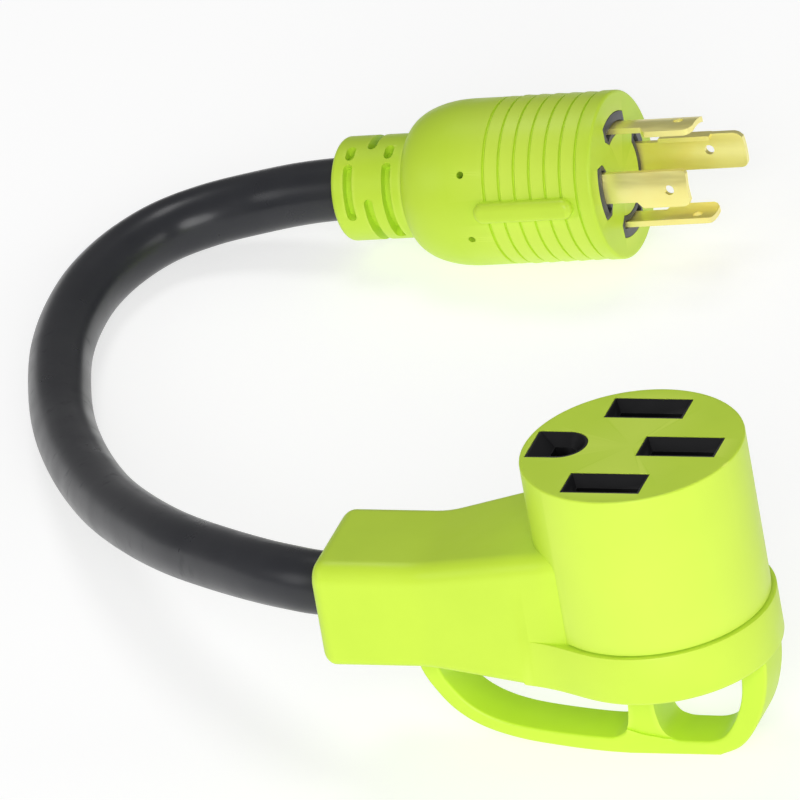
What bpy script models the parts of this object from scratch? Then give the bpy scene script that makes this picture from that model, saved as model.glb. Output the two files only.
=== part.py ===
"""Power adapter dogbone: a locking plug and a round socket with a pull handle, on one short thick cable.

Frame: +Z up, and +X along the socket's arm towards its head. The origin is on the surface that the
pull handle rests on, under the axis of the socket's head. The plug lies behind the socket and the
cable joins them in a C on its left.
"""

import math

import bmesh
import bpy
from mathutils import Matrix, Vector

MM = 0.001
GAP = 0.3 * MM  # between neighbouring pieces
PAST = 1.0 * MM  # how far a cutter runs past the face it cuts
MERGE = 0.00001
ROUND_SIDES = 40
HEAD_SIDES = 64
SMALL_SIDES = 12

# Cable
CABLE_R = 8.9 * MM
BORE_R = CABLE_R + GAP
WIRE_R = 2.3 * MM
WIRE_SPREAD = 3.2 * MM
WIRE_STEP = 4.0 * MM

# Socket: head, flange, arm
HEAD_R = 31.35 * MM
HEAD_TOP = 93.7 * MM
FLANGE_R = 32.8 * MM
FLANGE_TOP = 45.0 * MM
FLANGE_EDGE = 0.6 * MM
BASE_LOW = 30.3 * MM
ARM_LOW = 32.3 * MM
ARM_END = -94.0 * MM
ARM_HALF = 18.6 * MM
ARM_TOP = 63.4 * MM
ARM_Z = 48.3 * MM
ARM_ROUNDING = 5.5 * MM
FLARE_START = -63.0 * MM
FLARE_END = -23.3 * MM
FLARE_HALF = 25.1 * MM
FLARE_TOP = 71.3 * MM
FLARE_PAST = 0.2 * MM  # how far the arm's foot goes below the flange
ARM_INSIDE = -12.0 * MM
ARM_INSIDE_TOP = 72.8 * MM
FACE_THICK = 2.5 * MM
BOSS_ROOT = HEAD_TOP - FACE_THICK - 2.0 * MM
CAVITY_R = 28.5 * MM
CAVITY_LOW = 35.0 * MM
JACKET_END_X = -72.0 * MM

# Socket: pull handle
HANDLE_HALF = 7.6 * MM
HANDLE_EDGE = 1.0 * MM

# Socket: insulator, contacts, crimps
CORE_R = CAVITY_R - GAP
CORE_LOW = 70.0 * MM
COVER_LOW = 66.0 * MM
SLOT_LONG = 18.4 * MM
SLOT_WIDE = 4.6 * MM
MOUTH_LONG = 21.6 * MM
MOUTH_WIDE = 9.6 * MM
MOUTH_DEEP = 3.0 * MM
BOSS_LONG = 22.6 * MM
BOSS_WIDE = 10.6 * MM
SLOT_CENTRES = {
    "hot_x": (-1.5 * MM, -20.5 * MM),
    "hot_y": (-1.5 * MM, 20.5 * MM),
    "neutral": (14.0 * MM, 0.0),
}
GROUND_CENTRE = (-20.2 * MM, 0.0)
GROUND_R = 3.6 * MM
GROUND_MOUTH_R = 6.5 * MM
GROUND_MOUTH_FLAT = 8.2 * MM
GROUND_BOSS_R = 7.1 * MM
GROUND_BOSS_FLAT = 8.8 * MM
CONTACT_LOW = 71.0 * MM
CONTACT_HIGH = 83.0 * MM
CONTACT_LONG = 17.4 * MM
CONTACT_WIDE = 4.0 * MM
CONTACT_SHEET = 0.9 * MM
TAIL_LONG = 6.0 * MM
TAIL_WIDE = 2.0 * MM
TAIL_LOW = 64.0 * MM
CRIMP_R = 3.4 * MM
CRIMP_LONG = 6.7 * MM

# Plug, measured along its own axis from the cable end of its collar
PLUG_LENGTH = 83.8 * MM
PLUG_R = 23.9 * MM
PLUG_BAND_R = 23.6 * MM
RING_FIRST = 50.5 * MM
RING_PITCH = 4.69 * MM
RING_COUNT = 6
RING_GROOVE = 0.6 * MM
RING_SLOPE = 0.3 * MM
DOME_START = 22.3 * MM
DOME_END = 40.0 * MM
DOME_START_R = 15.1 * MM
DOME_STEPS = 5
COLLAR_R = 14.8 * MM
COLLAR_END = 22.0 * MM
COLLAR_SLOT_DEEP = 2.75 * MM
COLLAR_SLOT_WIDE = 2.4 * MM
PLUG_JACKET_END = 31.5 * MM
CHAMBER_R = 17.0 * MM
CHAMBER_LOW = 32.5 * MM
RECESS_R = 19.5 * MM
RECESS_LOW = 60.0 * MM
PLUG_FACE_THICK = 2.5 * MM
PLATE_THICK = 3.0 * MM
GRIP_LOW = 47.5 * MM
GRIP_HIGH = 77.5 * MM
GRIP_HALF = 3.0 * MM
GRIP_TOP_R = 26.6 * MM
GRIP_ANGLES = (173.0, 353.0)

# Blades
BLADE_INNER = 13.5 * MM
BLADE_OUTER = 15.1 * MM
BLADE_HALF_ANGLE = 24.0  # of the curved strip that a blade is cut from
BLADE_SLOT_HALF_ANGLE = 25.6
BLADE_REACH = 25.5 * MM
GROUND_REACH = 32.6 * MM
BLADE_HOLE_R = 1.45 * MM
BLADE_HOLE_FROM_TIP = 5.6 * MM
GROUND_HOLE_FROM_TIP = 10.9 * MM
NOTCH_LONG = 10.6 * MM
BLADE_ANGLES = {"hot_x": 81.0, "neutral": 172.0, "hot_y": 266.0, "ground": -4.0}
SEAT_INNER = 11.8 * MM
SEAT_OUTER = 17.9 * MM
SEAT_MIDDLE = 14.6 * MM
SEAT_HALF_ANGLE = 25.0
SEAT_TIP_ANGLE = 31.0

# Where the plug lies: the middle of its collar's cable end, and the way its blades point
PLUG_START = Vector((-179.3, 266.8, 20.2)) * MM
PLUG_PITCH = math.radians(5.0)
PLUG_YAW = math.radians(-1.5)
PLUG_AXIS = Vector(
    (
        math.cos(PLUG_PITCH) * math.cos(PLUG_YAW),
        math.cos(PLUG_PITCH) * math.sin(PLUG_YAW),
        math.sin(PLUG_PITCH),
    )
)

# The cable's way from the arm to the plug, in millimetres, chosen by hand
CABLE_ROUTE = (
    (-97, 0, 48.3),
    (-108, 4, 47.5),
    (-120, 11, 45.5),
    (-138, 25, 41),
    (-156, 41, 36),
    (-174, 61, 30),
    (-191, 83, 24),
    (-206, 106, 19),
    (-219, 129, 15),
    (-229, 150, 12),
    (-237, 171, 10.5),
    (-243, 191, 9.5),
    (-246, 210, 9),
    (-246, 228, 9),
    (-242, 244, 9.5),
    (-234, 257, 10.5),
    (-222, 264, 12.5),
    (-208, 267, 15),
    (-195, 267, 18),
)
CABLE_STEP = 12.0 * MM

LIME = (0.60, 0.83, 0.055)
NEAR_BLACK = (0.012, 0.012, 0.013)
SLATE = (0.06, 0.065, 0.08)
CHARCOAL = (0.022, 0.023, 0.027)
BRASS = (0.78, 0.60, 0.25)
COPPER = (0.55, 0.25, 0.13)
BOARD_BLACK = (0.03, 0.03, 0.03)
WIRE_COLOURS = {
    "hot_x": (0.02, 0.02, 0.02),
    "hot_y": (0.5, 0.02, 0.02),
    "neutral": (0.75, 0.75, 0.73),
    "ground": (0.02, 0.28, 0.07),
}


def clear_scene():
    for obj in list(bpy.data.objects):
        bpy.data.objects.remove(obj, do_unlink=True)


def new_collection(name):
    collection = bpy.data.collections.new(name)
    bpy.context.scene.collection.children.link(collection)
    return collection


def material(name, colour, roughness, metallic=0.0):
    made = bpy.data.materials.new(name)
    made.use_nodes = True
    shader = made.node_tree.nodes["Principled BSDF"]
    shader.inputs["Base Color"].default_value = (*colour, 1.0)
    shader.inputs["Roughness"].default_value = roughness
    shader.inputs["Metallic"].default_value = metallic
    return made


clear_scene()
PARTS = new_collection("power_adapter_dogbone")
CUTTERS = new_collection("cutters")
PLASTIC = material("lime_moulding", LIME, 0.42)
CORE_PLASTIC = material("black_insulator", NEAR_BLACK, 0.5)
CARRIER_PLASTIC = material("slate_insulator", SLATE, 0.5)
JACKET_PLASTIC = material("cable_jacket", CHARCOAL, 0.4)
BRASS_METAL = material("brass", BRASS, 0.28, 1.0)
CRIMP_METAL = material("crimp_metal", COPPER, 0.35, 1.0)
BOARD_PLASTIC = material("board_black", BOARD_BLACK, 0.6)
WIRE_PLASTIC = {name: material(f"wire_{name}", colour, 0.5) for name, colour in WIRE_COLOURS.items()}


def plug_frame():
    """Local +Z is the plug's axis, +X its right and +Y its top, as seen facing the blades."""
    right = Vector((-math.sin(PLUG_YAW), math.cos(PLUG_YAW), 0.0))
    top = PLUG_AXIS.cross(right)
    turn = Matrix((right, top, PLUG_AXIS)).transposed().to_4x4()
    return Matrix.Translation(PLUG_START) @ turn


PLUG_FRAME = plug_frame()


def tangent_frame(degrees):
    """Local +X is the tangent, +Y the axis and +Z outwards, at this angle round the plug's axis."""
    angle = math.radians(degrees)
    tangent = Vector((-math.sin(angle), math.cos(angle), 0.0))
    outward = Vector((math.cos(angle), math.sin(angle), 0.0))
    return Matrix((tangent, Vector((0.0, 0.0, 1.0)), outward)).transposed().to_4x4()


def place(name, mesh, look=None, frame=None):
    """A part where a look is given, and otherwise a cutter."""
    obj = bpy.data.objects.new(name, mesh)
    if frame is not None:
        obj.matrix_world = frame
    if look is None:
        CUTTERS.objects.link(obj)
        obj.hide_render = True
        obj.display_type = "WIRE"
        return obj
    PARTS.objects.link(obj)
    mesh.materials.clear()
    mesh.materials.append(look)
    return obj


def boolean(obj, other, operation="DIFFERENCE"):
    cut = obj.modifiers.new(other.name, "BOOLEAN")
    cut.operation = operation
    cut.object = other


def bevelled(obj, width, segments=2, degrees=30.0):
    bevel = obj.modifiers.new("rounding", "BEVEL")
    bevel.width = width
    bevel.segments = segments
    bevel.limit_method = "ANGLE"
    bevel.angle_limit = math.radians(degrees)


def smooth(mesh):
    mesh.shade_smooth()
    mesh.set_sharp_from_angle(angle=math.radians(35))
    return mesh


def mesh_of(curve, name):
    """The mesh that a curve makes, with its caps welded on. The curve is removed."""
    obj = bpy.data.objects.new(name, curve)
    CUTTERS.objects.link(obj)
    graph = bpy.context.evaluated_depsgraph_get()
    mesh = bpy.data.meshes.new_from_object(obj.evaluated_get(graph))
    bpy.data.objects.remove(obj, do_unlink=True)
    bpy.data.curves.remove(curve)
    work = bmesh.new()
    work.from_mesh(mesh)
    bmesh.ops.remove_doubles(work, verts=work.verts, dist=MERGE)
    work.to_mesh(mesh)
    work.free()
    mesh.name = name
    return mesh


def plate(name, outlines, low, high, edge=0.0):
    """A flat shape from low to high along Z, with any further outlines as its holes."""
    curve = bpy.data.curves.new(name, "CURVE")
    curve.dimensions = "2D"
    curve.fill_mode = "BOTH"
    curve.extrude = (high - low) / 2 - edge
    curve.bevel_depth = edge
    curve.offset = -edge
    curve.bevel_resolution = 1
    for outline in outlines:
        spline = curve.splines.new("POLY")
        spline.points.add(len(outline) - 1)
        spline.use_cyclic_u = True
        for point, (x, y) in zip(spline.points, outline):
            point.co = (x, y, 0.0, 1.0)
    mesh = mesh_of(curve, name)
    mesh.transform(Matrix.Translation((0.0, 0.0, (low + high) / 2)))
    return mesh


def turned(name, profile, sides=ROUND_SIDES, ring=False):
    """A mesh turned about Z from (radius, height) points that run down its outer side."""
    mesh = bpy.data.meshes.new(name)
    points = [(radius, 0.0, height) for radius, height in profile]
    edges = [(index, index + 1) for index in range(len(points) - 1)]
    if ring:
        edges.append((len(points) - 1, 0))
    mesh.from_pydata(points, edges, [])
    obj = bpy.data.objects.new(name, mesh)
    CUTTERS.objects.link(obj)
    screw = obj.modifiers.new("turn", "SCREW")
    screw.steps = sides
    screw.render_steps = sides
    screw.use_merge_vertices = True
    screw.merge_threshold = MERGE
    graph = bpy.context.evaluated_depsgraph_get()
    made = bpy.data.meshes.new_from_object(obj.evaluated_get(graph))
    bpy.data.objects.remove(obj, do_unlink=True)
    work = bmesh.new()
    work.from_mesh(made)
    bmesh.ops.remove_doubles(work, verts=work.verts, dist=MERGE)
    bmesh.ops.recalc_face_normals(work, faces=work.faces)
    work.to_mesh(made)
    work.free()
    made.name = name
    return smooth(made)


def cylinder(name, radius, low, high, centre=(0.0, 0.0), sides=ROUND_SIDES):
    work = bmesh.new()
    middle = Matrix.Translation((centre[0], centre[1], (low + high) / 2))
    bmesh.ops.create_cone(
        work, cap_ends=True, segments=sides, radius1=radius, radius2=radius, depth=high - low, matrix=middle
    )
    mesh = bpy.data.meshes.new(name)
    work.to_mesh(mesh)
    work.free()
    return smooth(mesh)


def box(name, low, high):
    work = bmesh.new()
    bmesh.ops.create_cube(work, size=1.0)
    low, high = Vector(low), Vector(high)
    size = high - low
    for vert in work.verts:
        vert.co = Vector(a + (c + 0.5) * b for a, b, c in zip(low, size, vert.co))
    mesh = bpy.data.meshes.new(name)
    work.to_mesh(mesh)
    work.free()
    return mesh


def funnel(name, centre, wide_outline, narrow_outline, high, low):
    """A loft between two outlines of as many points, the wide one on top."""
    work = bmesh.new()
    rows = []
    for outline, height in ((wide_outline, high), (narrow_outline, low)):
        rows.append([work.verts.new((centre[0] + x, centre[1] + y, height)) for x, y in outline])
    top, bottom = rows
    work.faces.new(top)
    work.faces.new(list(reversed(bottom)))
    for index in range(len(top)):
        after = (index + 1) % len(top)
        work.faces.new((top[after], top[index], bottom[index], bottom[after]))
    bmesh.ops.recalc_face_normals(work, faces=work.faces)
    mesh = bpy.data.meshes.new(name)
    work.to_mesh(mesh)
    work.free()
    return mesh


def smooth_route(points, step):
    """Points every step or so on a Catmull-Rom curve through the given ones."""
    points = [Vector(point) for point in points]
    ends = [2 * points[0] - points[1], *points, 2 * points[-1] - points[-2]]
    found = [points[0]]
    for before, start, end, after in zip(ends, ends[1:], ends[2:], ends[3:]):
        count = max(1, round((end - start).length / step))
        for index in range(1, count + 1):
            t = index / count
            found.append(
                0.5
                * (
                    2 * start
                    + (end - before) * t
                    + (2 * before - 5 * start + 4 * end - after) * t**2
                    + (3 * start - before - 3 * end + after) * t**3
                )
            )
    return found


def tube(name, points, radius, resolution, look):
    """A round tube of the given radius with flat capped ends."""
    curve = bpy.data.curves.new(name, "CURVE")
    curve.dimensions = "3D"
    curve.bevel_depth = radius
    curve.bevel_resolution = resolution
    curve.use_fill_caps = True
    spline = curve.splines.new("POLY")
    spline.points.add(len(points) - 1)
    for point, place_at in zip(spline.points, points):
        point.co = (*place_at, 1.0)
    return place(name, smooth(mesh_of(curve, name)), look)


def arc(radius, start, end, steps, centre=(0.0, 0.0)):
    """Points on a circle between two angles in degrees."""
    angles = [math.radians(start + (end - start) * index / steps) for index in range(steps + 1)]
    return [(centre[0] + radius * math.cos(a), centre[1] + radius * math.sin(a)) for a in angles]


def rectangle(long, wide):
    return [(-long / 2, -wide / 2), (long / 2, -wide / 2), (long / 2, wide / 2), (-long / 2, wide / 2)]


def d_shape(radius, flat):
    """Round at +X, with its flat side at -X, that far from the round part's centre."""
    return [(-flat, -radius), *arc(radius, -90, 90, 8), (-flat, radius)]


def sector(inner, outer, start, end, steps=6):
    """Part of a flat ring between two angles in degrees."""
    return [*arc(outer, start, end, steps), *reversed(arc(inner, start, end, steps))]


# Socket


def arm_cage():
    """The square arm, with its flare and ramp towards the head and its foot drawn down to the flange."""
    work = bmesh.new()
    sections = (
        (ARM_END, ARM_HALF, ARM_LOW, ARM_TOP),
        (FLARE_START, ARM_HALF, ARM_LOW, ARM_TOP),
        (FLARE_END, FLARE_HALF, BASE_LOW - FLARE_PAST, FLARE_TOP),
        (ARM_INSIDE, FLARE_HALF, BASE_LOW - FLARE_PAST, ARM_INSIDE_TOP),
    )
    rings = []
    for x, half, low, top in sections:
        corners = ((-half, low), (half, low), (half, top), (-half, top))
        rings.append([work.verts.new((x, y, z)) for y, z in corners])
    for ring, after in zip(rings, rings[1:]):
        for index in range(4):
            other = (index + 1) % 4
            work.faces.new((ring[index], ring[other], after[other], after[index]))
    work.faces.new(rings[0])
    work.faces.new(rings[-1])
    bmesh.ops.recalc_face_normals(work, faces=work.faces)
    mesh = bpy.data.meshes.new("arm_cage")
    work.to_mesh(mesh)
    work.free()
    return mesh


def handle_outlines():
    """Side view of the pull handle, x along the arm and y up: its outer line and its two windows."""
    outer = [(31, 36), (30.8, 27), (29, 19), (26.2, 12), (22.5, 6), (18.5, 2), (13, 0), (-13, 0), (-21, 0.5)]
    outer += [(-32, 1.9), (-44, 4), (-54, 7.4), (-61, 12), (-66, 18), (-70, 26), (-71, 36)]
    long_window = [(-17, 5.2), (-13.6, 7.6), (-12, 12), (-11, 34), (-65.5, 34), (-64.5, 26), (-62, 20.4)]
    long_window += [(-57.4, 14.2), (-52, 10.7), (-43.5, 8), (-32, 6.2)]
    short_window = [(12, 4.5), (15.5, 6.5), (19.5, 12), (22.5, 20), (23.7, 34), (-4.7, 34), (-4, 12)]
    short_window += [(-2.6, 7), (0.5, 4.5)]
    return [[(x * MM, z * MM) for x, z in shape] for shape in (outer, long_window, short_window)]


def socket_overmould():
    body = place("socket_overmould", arm_cage(), PLASTIC)
    bevelled(body, ARM_ROUNDING, 3)
    profile = [
        (0.0, FLANGE_TOP),
        (FLANGE_R - FLANGE_EDGE, FLANGE_TOP),
        (FLANGE_R, FLANGE_TOP - FLANGE_EDGE),
        (FLANGE_R, BASE_LOW + 3 * FLANGE_EDGE),
        (FLANGE_R - FLANGE_EDGE, BASE_LOW + FLANGE_EDGE),
        (FLANGE_R - 3 * FLANGE_EDGE, BASE_LOW),
        (0.0, BASE_LOW),
    ]
    boolean(body, place("flange_block", turned("flange_block", profile, HEAD_SIDES)), "UNION")
    profile = [
        (0.0, HEAD_TOP),
        (HEAD_R - 0.6 * MM, HEAD_TOP),
        (HEAD_R, HEAD_TOP - 0.6 * MM),
        (HEAD_R, CAVITY_LOW - 2 * MM),
        (0.0, CAVITY_LOW - 2 * MM),
    ]
    boolean(body, place("head_block", turned("head_block", profile, HEAD_SIDES)), "UNION")
    upright = Matrix.Rotation(math.radians(90), 4, "X")
    loop = plate("handle_block", handle_outlines(), -HANDLE_HALF, HANDLE_HALF, HANDLE_EDGE)
    boolean(body, place("handle_block", loop, None, upright), "UNION")
    boolean(body, place("head_cavity", cylinder("head_cavity", CAVITY_R, CAVITY_LOW, HEAD_TOP - FACE_THICK)))
    along = Matrix.Translation((0.0, 0.0, ARM_Z)) @ Matrix.Rotation(math.radians(90), 4, "Y")
    bore = cylinder("arm_bore", BORE_R, ARM_END - PAST, -CAVITY_R + 4 * MM, sides=32)
    boolean(body, place("arm_bore", bore, None, along))
    for name, centre in SLOT_CENTRES.items():
        x, y = centre
        half_x, half_y = BOSS_LONG / 2 + GAP, BOSS_WIDE / 2 + GAP
        low = (x - half_x, y - half_y, BOSS_ROOT - GAP)
        window = box(f"face_window_{name}", low, (x + half_x, y + half_y, HEAD_TOP + PAST))
        boolean(body, place(f"face_window_{name}", window))
    outline = d_shape(GROUND_BOSS_R + GAP, GROUND_BOSS_FLAT + GAP)
    window = plate("face_window_ground", [outline], BOSS_ROOT - GAP, HEAD_TOP + PAST)
    shift = Matrix.Translation((*GROUND_CENTRE, 0.0))
    boolean(body, place("face_window_ground", window, None, shift))


def socket_core():
    block = cylinder("socket_core", CORE_R, CORE_LOW, HEAD_TOP - FACE_THICK - GAP)
    core = place("socket_core", block, CORE_PLASTIC)
    mouth_low = HEAD_TOP - MOUTH_DEEP
    slot_low = CORE_LOW - PAST
    ground_shift = Matrix.Translation((*GROUND_CENTRE, 0.0))
    for name, (x, y) in SLOT_CENTRES.items():
        low = (x - BOSS_LONG / 2, y - BOSS_WIDE / 2, BOSS_ROOT)
        boss = box(f"boss_{name}", low, (x + BOSS_LONG / 2, y + BOSS_WIDE / 2, HEAD_TOP))
        boolean(core, place(f"boss_{name}", boss), "UNION")
    boss = plate("boss_ground", [d_shape(GROUND_BOSS_R, GROUND_BOSS_FLAT)], BOSS_ROOT, HEAD_TOP)
    boolean(core, place("boss_ground", boss, None, ground_shift), "UNION")
    for name, (x, y) in SLOT_CENTRES.items():
        low = (x - SLOT_LONG / 2, y - SLOT_WIDE / 2, slot_low)
        slot = box(f"slot_{name}", low, (x + SLOT_LONG / 2, y + SLOT_WIDE / 2, HEAD_TOP + PAST))
        boolean(core, place(f"slot_{name}", slot))
        wide, narrow = rectangle(MOUTH_LONG, MOUTH_WIDE), rectangle(SLOT_LONG + GAP, SLOT_WIDE + GAP)
        mouth = funnel(f"mouth_{name}", (x, y), wide, narrow, HEAD_TOP + GAP / 3, mouth_low)
        boolean(core, place(f"mouth_{name}", mouth))
    hole = plate("slot_ground", [d_shape(GROUND_R, GROUND_R)], slot_low, HEAD_TOP + PAST)
    boolean(core, place("slot_ground", hole, None, ground_shift))
    wide = d_shape(GROUND_MOUTH_R, GROUND_MOUTH_FLAT)
    narrow = d_shape(GROUND_R + GAP / 2, GROUND_R + GAP / 2)
    mouth = funnel("mouth_ground", GROUND_CENTRE, wide, narrow, HEAD_TOP + GAP / 3, mouth_low)
    boolean(core, place("mouth_ground", mouth))


def core_cover():
    disc = cylinder("core_rear_cover", CORE_R, COVER_LOW, CORE_LOW - GAP)
    cover = place("core_rear_cover", disc, BOARD_PLASTIC)
    for name, (x, y) in {**SLOT_CENTRES, "ground": GROUND_CENTRE}.items():
        half_x, half_y = TAIL_LONG / 2 + GAP, TAIL_WIDE / 2 + GAP
        low = (x - half_x, y - half_y, COVER_LOW - PAST)
        hole = box(f"tail_hole_{name}", low, (x + half_x, y + half_y, CORE_LOW))
        boolean(cover, place(f"tail_hole_{name}", hole))


def tail(name, x, y, top):
    half_x, half_y = TAIL_LONG / 2, TAIL_WIDE / 2
    return box(f"tail_{name}", (x - half_x, y - half_y, TAIL_LOW), (x + half_x, y + half_y, top))


def blade_contact(name, x, y):
    """A folded strip: two leaves that a blade goes between, a floor and a tail."""
    half, sheet, rise = CONTACT_WIDE / 2, CONTACT_SHEET, CONTACT_HIGH - CONTACT_LOW
    channel = [(-half, 0), (half, 0), (half, rise), (half - sheet, rise), (half - sheet, sheet)]
    channel += [(sheet - half, sheet), (sheet - half, rise), (-half, rise)]
    mesh = plate(f"contact_{name}", [channel], -CONTACT_LONG / 2, CONTACT_LONG / 2)
    turn = Matrix(((0, 0, 1, x), (1, 0, 0, y), (0, 1, 0, CONTACT_LOW), (0, 0, 0, 1)))
    mesh.transform(turn)
    obj = place(f"contact_{name}", mesh, BRASS_METAL)
    boolean(obj, place(f"tail_{name}", tail(name, x, y, CONTACT_LOW + sheet / 2)), "UNION")


def ground_contact():
    """A sprung sleeve for the round earth pin, on the same kind of tail."""
    x, y = GROUND_CENTRE
    outer, inner, floor = GROUND_R - GAP, GROUND_R - GAP - CONTACT_SHEET, CONTACT_LOW + CONTACT_SHEET
    profile = [(0.0, floor), (inner, floor), (inner, CONTACT_HIGH)]
    profile += [(outer, CONTACT_HIGH), (outer, CONTACT_LOW), (0.0, CONTACT_LOW)]
    mesh = turned("contact_ground", profile, 20)
    mesh.transform(Matrix.Translation((x, y, 0.0)))
    obj = place("contact_ground", mesh, BRASS_METAL)
    boolean(obj, place("tail_ground", tail("ground", x, y, CONTACT_LOW + CONTACT_SHEET / 2)), "UNION")


def socket_wiring():
    start, end = JACKET_END_X + GAP, TAIL_LOW - GAP - CRIMP_LONG - GAP
    high, low, side = ARM_Z + WIRE_SPREAD, ARM_Z - WIRE_SPREAD, WIRE_SPREAD
    x_hot, y_hot = SLOT_CENTRES["hot_x"]
    x_neutral, x_ground = SLOT_CENTRES["neutral"][0], GROUND_CENTRE[0]
    outer_low = [(-27, 5.2, 44.3), (-20, 9, 43.2), (-12, 13.5, 44), (-4, 18.6, 47.5)]
    routes = {
        "neutral": [(-27, -4.6, 49.4), (-19, -5, 48.2), (-9, -3.6, 46), (2, -1, 45.6), (10.5, 0, 48.5)],
        "ground": [(-34, 2.4, 49.6), (-28, 0.9, 49), (-23, 0.2, 50)],
        "hot_x": [(x, -y, z) for x, y, z in outer_low],
        "hot_y": outer_low,
    }
    starts = {"neutral": (-side, high), "ground": (side, high), "hot_x": (-side, low), "hot_y": (side, low)}
    ends = {"neutral": (x_neutral, 0.0), "ground": (x_ground, 0.0)}
    ends.update({"hot_x": (x_hot, y_hot), "hot_y": (x_hot, -y_hot)})
    for name, middle in routes.items():
        y, z = starts[name]
        x_end, y_end = ends[name]
        points = [(start, y, z), (start + 26 * MM, y, z)]
        points += [tuple(value * MM for value in point) for point in middle]
        points += [(x_end, y_end, end - 4 * MM), (x_end, y_end, end)]
        tube(f"socket_wire_{name}", smooth_route(points, WIRE_STEP), WIRE_R, 2, WIRE_PLASTIC[name])
        low = end + GAP
        crimp = cylinder(f"socket_crimp_{name}", CRIMP_R, low, low + CRIMP_LONG, (x_end, y_end), SMALL_SIDES)
        place(f"socket_crimp_{name}", crimp, CRIMP_METAL)


# Plug


def plug_profile():
    """(radius, distance along the axis), from the face over the rings and the dome, then back inside."""
    points = [(0.0, PLUG_LENGTH), (PLUG_R - 0.9 * MM, PLUG_LENGTH), (PLUG_R, PLUG_LENGTH - 0.9 * MM)]
    for index in reversed(range(RING_COUNT + 1)):
        rear = RING_FIRST + index * RING_PITCH
        points.append((PLUG_R, rear + RING_GROOVE))
        points.append((PLUG_R - RING_GROOVE, rear))
        if index:
            points.append((PLUG_R - RING_SLOPE, rear - 0.01 * MM))
    points[-1] = (PLUG_BAND_R, RING_FIRST)
    for index in range(DOME_STEPS + 1):
        angle = math.radians(90) * index / DOME_STEPS
        along = DOME_END - (DOME_END - DOME_START) * math.sin(angle)
        points.append((DOME_START_R + (PLUG_BAND_R - DOME_START_R) * math.cos(angle), along))
    points += [(BORE_R, DOME_START), (BORE_R, CHAMBER_LOW), (CHAMBER_R, CHAMBER_LOW), (CHAMBER_R, RECESS_LOW)]
    points += [(RECESS_R, RECESS_LOW), (RECESS_R, PLUG_LENGTH - PLUG_FACE_THICK)]
    points += [(0.0, PLUG_LENGTH - PLUG_FACE_THICK)]
    return points


def seat_outline(degrees, grow=0.0):
    """A curved seat with pointed ends, round one blade."""
    extra = math.degrees(grow / SEAT_MIDDLE)
    half, tip = SEAT_HALF_ANGLE + extra, SEAT_TIP_ANGLE + extra * 1.6
    outline = arc(SEAT_OUTER + grow, degrees - half, degrees + half, 6)
    outline += arc(SEAT_MIDDLE, degrees + tip, degrees + tip, 1)[:1]
    outline += arc(SEAT_INNER - grow, degrees + half, degrees - half, 6)
    return outline + arc(SEAT_MIDDLE, degrees - tip, degrees - tip, 1)[:1]


def grip_bar(degrees):
    """A stadium-shaped bar that stands proud of the rings."""
    low_end = arc(GRIP_HALF, 180, 360, 6, (0.0, GRIP_LOW + GRIP_HALF))
    high_end = arc(GRIP_HALF, 0, 180, 6, (0.0, GRIP_HIGH - GRIP_HALF))
    outline = [*low_end, *high_end]
    return plate(f"grip_bar_{degrees:.0f}", [outline], RECESS_R + 1.5 * MM, GRIP_TOP_R, 0.8 * MM)


def plug_overmould():
    body = place("plug_overmould", turned("plug_overmould", plug_profile()), PLASTIC, PLUG_FRAME)
    for degrees in GRIP_ANGLES:
        bar = grip_bar(degrees)
        boolean(body, place(bar.name, bar, None, PLUG_FRAME @ tangent_frame(degrees)), "UNION")
    for name, degrees in BLADE_ANGLES.items():
        low = PLUG_LENGTH - PLUG_FACE_THICK - PAST
        window = plate(f"seat_window_{name}", [seat_outline(degrees, GAP)], low, PLUG_LENGTH + PAST)
        boolean(body, place(f"seat_window_{name}", window, None, PLUG_FRAME))


def strain_relief():
    profile = [(COLLAR_R, COLLAR_END), (COLLAR_R, 2.6 * MM), (COLLAR_R - 0.8 * MM, 0.8 * MM)]
    profile += [(COLLAR_R - 2.4 * MM, 0.0), (BORE_R, 0.0), (BORE_R, COLLAR_END)]
    sleeve = turned("plug_strain_relief", profile, ring=True)
    collar = place("plug_strain_relief", sleeve, PLASTIC, PLUG_FRAME)
    rows = ((5.5 * MM, 105, 190), (11.4 * MM, 165, 285), (17.3 * MM, 105, 225))
    for row, (along, start, end) in enumerate(rows):
        for side, turn in (("near", 0), ("far", 180)):
            name = f"collar_slot_{row + 1}_{side}"
            shape = sector(COLLAR_R - COLLAR_SLOT_DEEP, COLLAR_R + 2 * PAST, start + turn, end + turn, 8)
            cutter = plate(name, [shape], along - COLLAR_SLOT_WIDE / 2, along + COLLAR_SLOT_WIDE / 2)
            boolean(collar, place(name, cutter, None, PLUG_FRAME))


def blade_carrier():
    low, top = RECESS_LOW + GAP + PLATE_THICK + GAP, PLUG_LENGTH - PLUG_FACE_THICK - GAP
    carrier = cylinder("blade_carrier", RECESS_R - GAP, low, top)
    carrier = place("blade_carrier", carrier, CARRIER_PLASTIC, PLUG_FRAME)
    for name, degrees in BLADE_ANGLES.items():
        seat = plate(f"seat_{name}", [seat_outline(degrees)], top - PAST, PLUG_LENGTH)
        boolean(carrier, place(f"seat_{name}", seat, None, PLUG_FRAME), "UNION")
    for name, degrees in BLADE_ANGLES.items():
        half = BLADE_SLOT_HALF_ANGLE
        shape = sector(BLADE_INNER - GAP, BLADE_OUTER + GAP, degrees - half, degrees + half, 8)
        cutter = plate(f"blade_slot_{name}", [shape], low - PAST, PLUG_LENGTH + PAST)
        boolean(carrier, place(f"blade_slot_{name}", cutter, None, PLUG_FRAME))


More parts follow.
